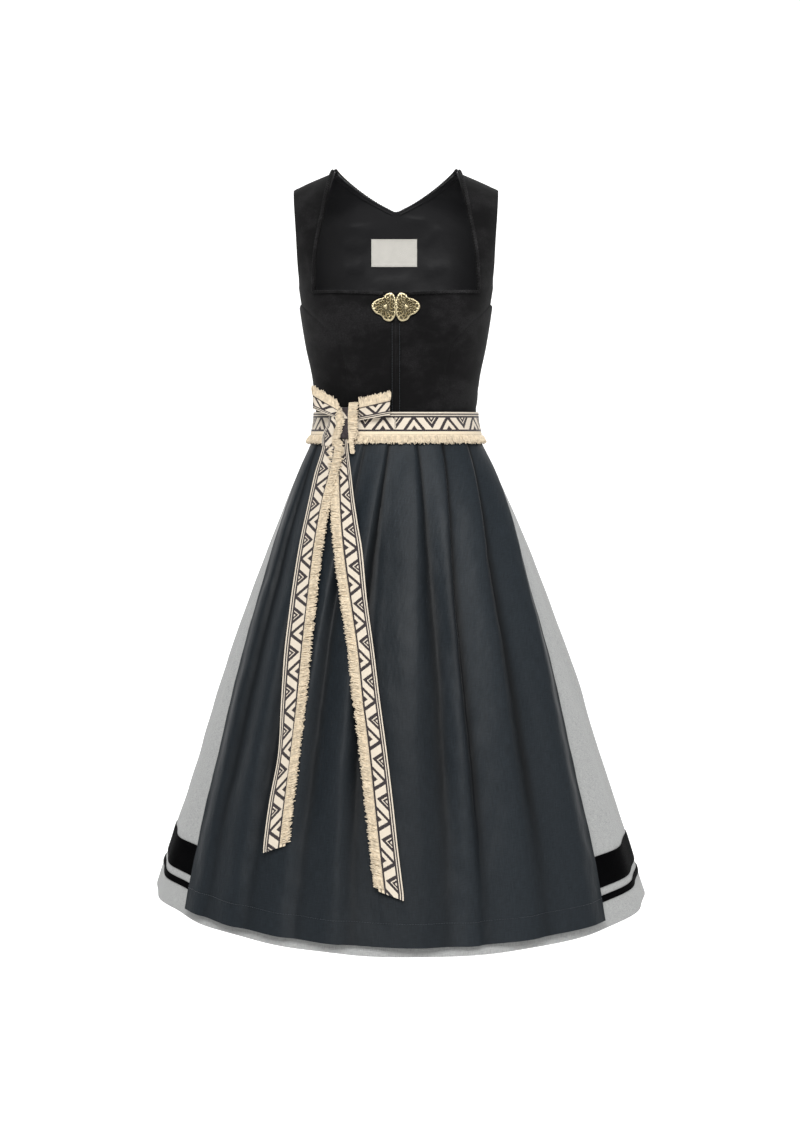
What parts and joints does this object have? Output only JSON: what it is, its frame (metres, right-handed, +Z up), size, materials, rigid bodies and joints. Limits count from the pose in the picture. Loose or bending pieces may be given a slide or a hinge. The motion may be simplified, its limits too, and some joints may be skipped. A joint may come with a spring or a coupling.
{
  "type": "leather dirndl",
  "caption": "Black suede dirndl bodice on a grey skirt with velvet bands, a pleated slate apron and a fringed woven belt in a bow.",
  "frame": {"origin": "midway between the two shoulder seams, at the height where the dress hangs from the shoulders", "axes": "+Z up, +X towards the wearer's left, -Y towards the front of the dress"},
  "size_m": [0.7359, 0.6687, 1.1011],
  "materials": {
    "suede": "matt black suede nap",
    "satin_lining": "charcoal satin",
    "label_cloth": "bare cream woven label",
    "skirt_wool": "light grey melange",
    "velvet": "black velvet ribbon",
    "taffeta": "slate taffeta with sheen",
    "woven_ribbon": "cream woven ribbon with a dark zigzag",
    "cream_fringe": "cream looped fringe",
    "antique_metal": "antique pale gold"
  },
  "bodies": {
    "root": {"bodice_front_left": "suede", "bodice_front_right": "suede", "bodice_side_front_left": "suede", "bodice_side_front_right": "suede", "bodice_side_back_left": "suede", "bodice_side_back_right": "suede", "bodice_back_left": "suede", "bodice_back_right": "suede", "front_placket_left": "suede", "front_placket_right": "suede", "neck_piping_front_left": "suede", "neck_piping_front_right": "suede", "neck_piping_back": "suede", "back_lining_left": "satin_lining", "back_lining_right": "satin_lining", "back_neck_facing_left": "satin_lining", "back_neck_facing_right": "satin_lining", "back_label": "label_cloth", "skirt_front": "skirt_wool", "skirt_left": "skirt_wool", "skirt_back": "skirt_wool", "skirt_right": "skirt_wool", "velvet_band_wide": "velvet", "velvet_band_narrow": "velvet", "apron": "taffeta", "belt_ribbon": "woven_ribbon", "bow_knot": "woven_ribbon", "bow_tail_right": "woven_ribbon", "bow_tail_left": "woven_ribbon", "bow_loop_right": "woven_ribbon", "bow_loop_left": "woven_ribbon", "belt_fringe": "cream_fringe", "bow_tail_fringe_right": "cream_fringe", "bow_tail_fringe_left": "cream_fringe", "bow_loop_fringe_right": "cream_fringe", "bow_loop_fringe_left": "cream_fringe", "clasp_left": "antique_metal", "clasp_right": "antique_metal"}
  },
  "joints": []
}
